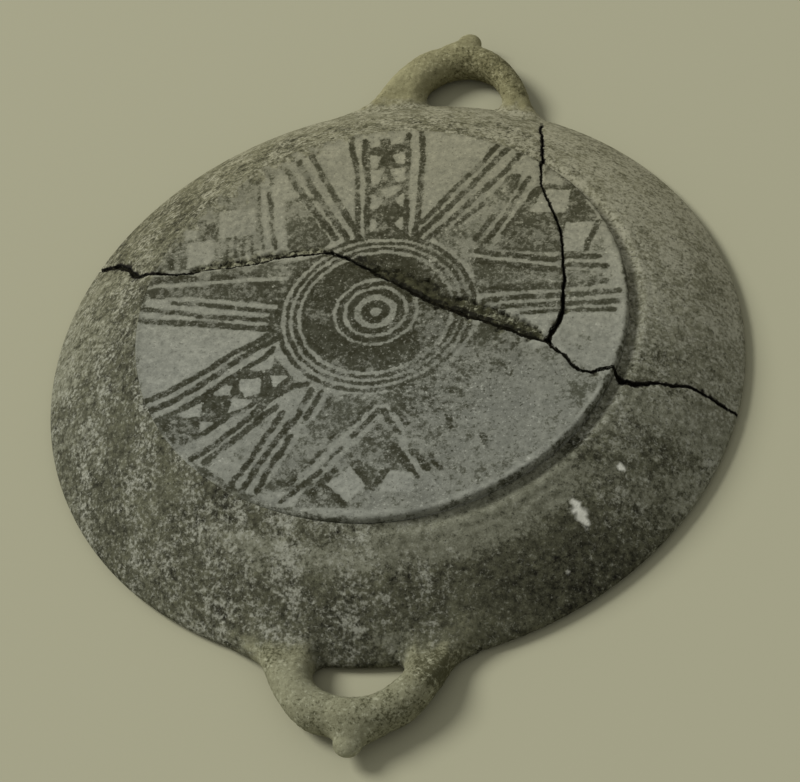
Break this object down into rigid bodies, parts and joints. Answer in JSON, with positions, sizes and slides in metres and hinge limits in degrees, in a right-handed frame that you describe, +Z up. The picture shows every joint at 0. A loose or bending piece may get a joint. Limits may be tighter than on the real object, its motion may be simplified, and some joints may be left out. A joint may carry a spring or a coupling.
{
  "type": "two-handled pottery dish",
  "caption": "Shallow painted pottery dish with a low disc foot, nippled loop handles and mended breaks, lying face down on its rim.",
  "frame": {"origin": "on the resting surface, at the centre of the rim, with the dish face down", "axes": "+Z up, out of the painted foot; +Y towards the upper handle of the picture, -Y towards the lower one; +X to the right"},
  "size_m": [0.3, 0.383, 0.0375],
  "materials": {
    "painted_wall": "matt, dark worn paint over pale slip",
    "painted_foot": "matt pale slip with dark painted lines",
    "handle_clay": "matt, speckled, worn paint",
    "adhesive": "matt, dark, recessed"
  },
  "bodies": {
    "root": {"wall_lower": "painted_wall", "wall_upper_left": "painted_wall", "wall_right": "painted_wall", "foot_lower": "painted_foot", "foot_upper_left": "painted_foot", "foot_right": "painted_foot", "handle_upper": "handle_clay", "handle_lower": "handle_clay", "nipple_upper": "handle_clay", "nipple_lower": "handle_clay", "collar_upper_left": "handle_clay", "collar_upper_right": "handle_clay", "collar_lower_left": "handle_clay", "collar_lower_right": "handle_clay", "join_main": "adhesive", "join_side": "adhesive"}
  },
  "joints": []
}
